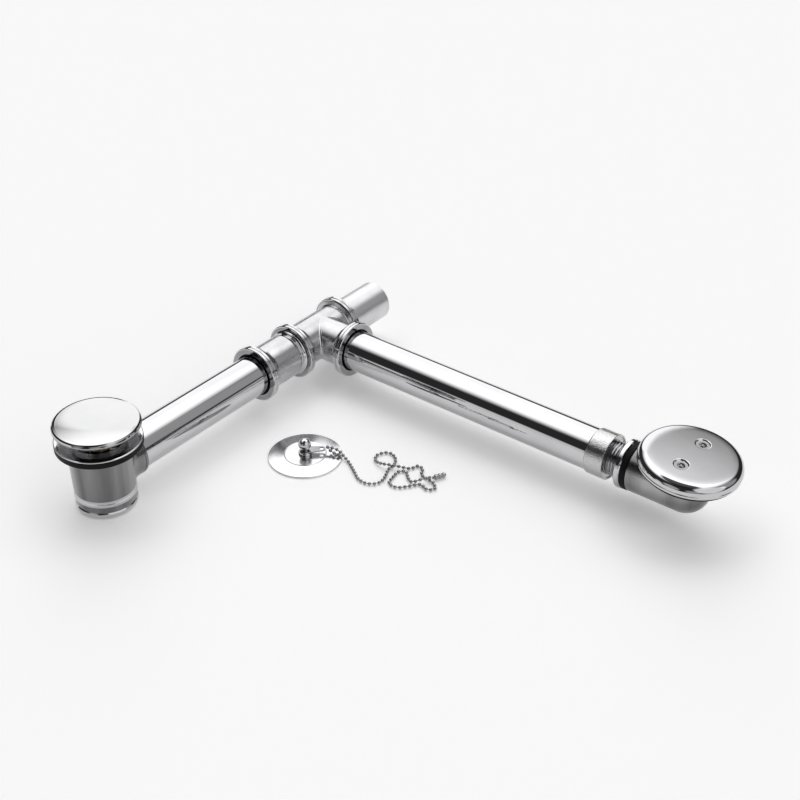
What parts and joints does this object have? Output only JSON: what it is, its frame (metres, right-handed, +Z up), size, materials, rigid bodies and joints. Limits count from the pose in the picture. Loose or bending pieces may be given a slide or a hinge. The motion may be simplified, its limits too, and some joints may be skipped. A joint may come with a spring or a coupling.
{
  "type": "bath waste and overflow",
  "caption": "Chromed bath waste and overflow: pop-up waste, tee with tail pipe, long overflow tube with a round plate, and a loose plug on a bead chain.",
  "frame": {"origin": "centre of the flat underside of the waste's base cap", "axes": "+Z up the waste's axis, +Y along the waste tube towards the tee and tail pipe, +X along the overflow tube's direction from the tee"},
  "size_m": [0.4806, 0.3971, 0.0867],
  "materials": {
    "mirror_chrome": "mirror polish",
    "satin_chrome": "satin",
    "black_rubber": "matt",
    "raw_brass": "turned",
    "spring_steel": "drawn wire"
  },
  "bodies": {
    "drain": {"bead_chain": "mirror_chrome", "chain_tip": "mirror_chrome", "coupling_nut": "mirror_chrome", "coupling_washer": "black_rubber", "elbow_collar": "mirror_chrome", "elbow_ring": "black_rubber", "flange_washer": "black_rubber", "overflow_elbow": "satin_chrome", "overflow_gasket": "black_rubber", "overflow_neck": "mirror_chrome", "overflow_plate": "mirror_chrome", "overflow_sleeve": "satin_chrome", "overflow_tube": "mirror_chrome", "plate_screws": "mirror_chrome", "plug_disc": "mirror_chrome", "plug_hasp": "mirror_chrome", "plug_knob": "mirror_chrome", "plug_seal": "black_rubber", "plunger_barrel": "raw_brass", "plunger_spring": "spring_steel", "shoe_base_cap": "satin_chrome", "shoe_base_seal": "black_rubber", "slip_coupling": "satin_chrome", "tail_pipe": "satin_chrome", "tee_body": "satin_chrome", "tee_branch_nut": "mirror_chrome", "tee_branch_washer": "black_rubber", "tee_inlet_nut": "mirror_chrome", "tee_inlet_washer": "black_rubber", "tee_outlet_nut": "mirror_chrome", "tee_outlet_washer": "black_rubber", "waste_flange": "mirror_chrome", "waste_shoe": "satin_chrome", "waste_tube": "mirror_chrome"},
    "stopper": {"seal_retainer": "mirror_chrome", "stopper_cap": "mirror_chrome", "stopper_plunger": "mirror_chrome", "stopper_seal": "black_rubber"}
  },
  "joints": [
    {"name": "stopper_slide", "type": "slide", "parent": "drain", "child": "stopper", "axis": [0, 0, 1], "range_m": [-0.0105, 0], "stiffness_N_per_m": 300, "springref_m": 0.02, "deforming": ["plunger_spring"]}
  ]
}
